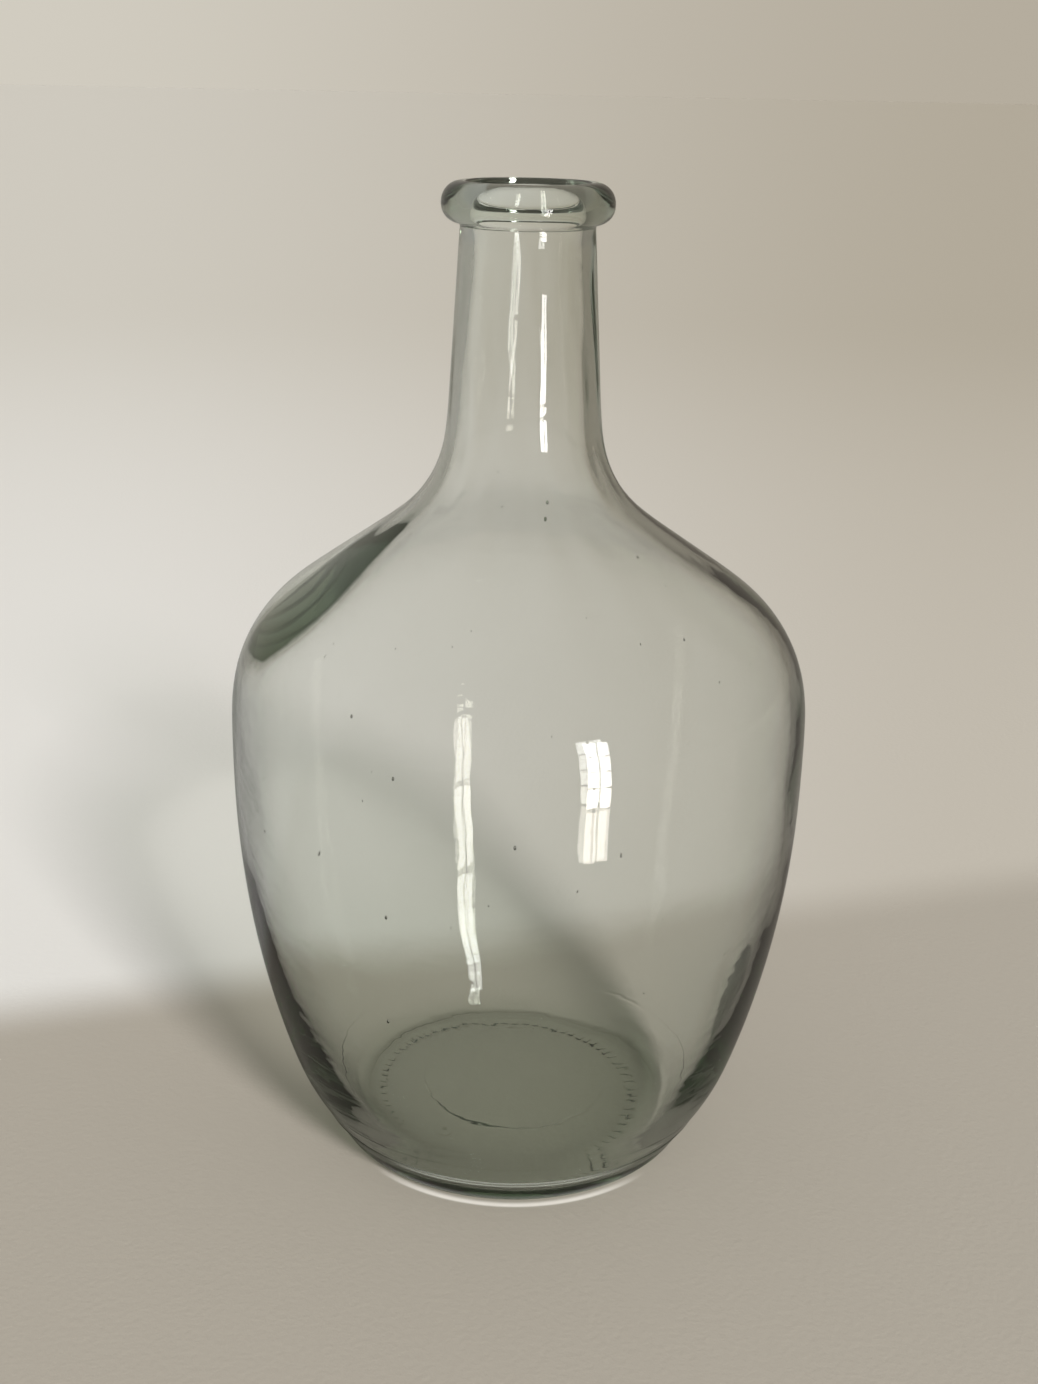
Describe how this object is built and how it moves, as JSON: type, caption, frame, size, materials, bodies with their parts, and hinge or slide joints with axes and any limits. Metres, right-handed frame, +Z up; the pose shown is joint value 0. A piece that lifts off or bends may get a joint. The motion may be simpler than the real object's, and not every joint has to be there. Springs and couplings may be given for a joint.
{
  "type": "glass demijohn",
  "caption": "Clear glass demijohn with a round shoulder, a tall tapering neck and an open rolled lip, for fermenting and keeping wine or beer.",
  "frame": {"origin": "middle of the base, in the plane the bottle stands on", "axes": "+Z up along the bottle's axis, through the mouth; the bottle is round, so X and Y are alike"},
  "size_m": [0.197, 0.197, 0.335],
  "materials": {
    "glass": "clear bottle glass, glossy, with a faint grey-green tint where it is thick, seeds and slow waves"
  },
  "bodies": {
    "root": {"bottle": "glass"}
  },
  "joints": []
}
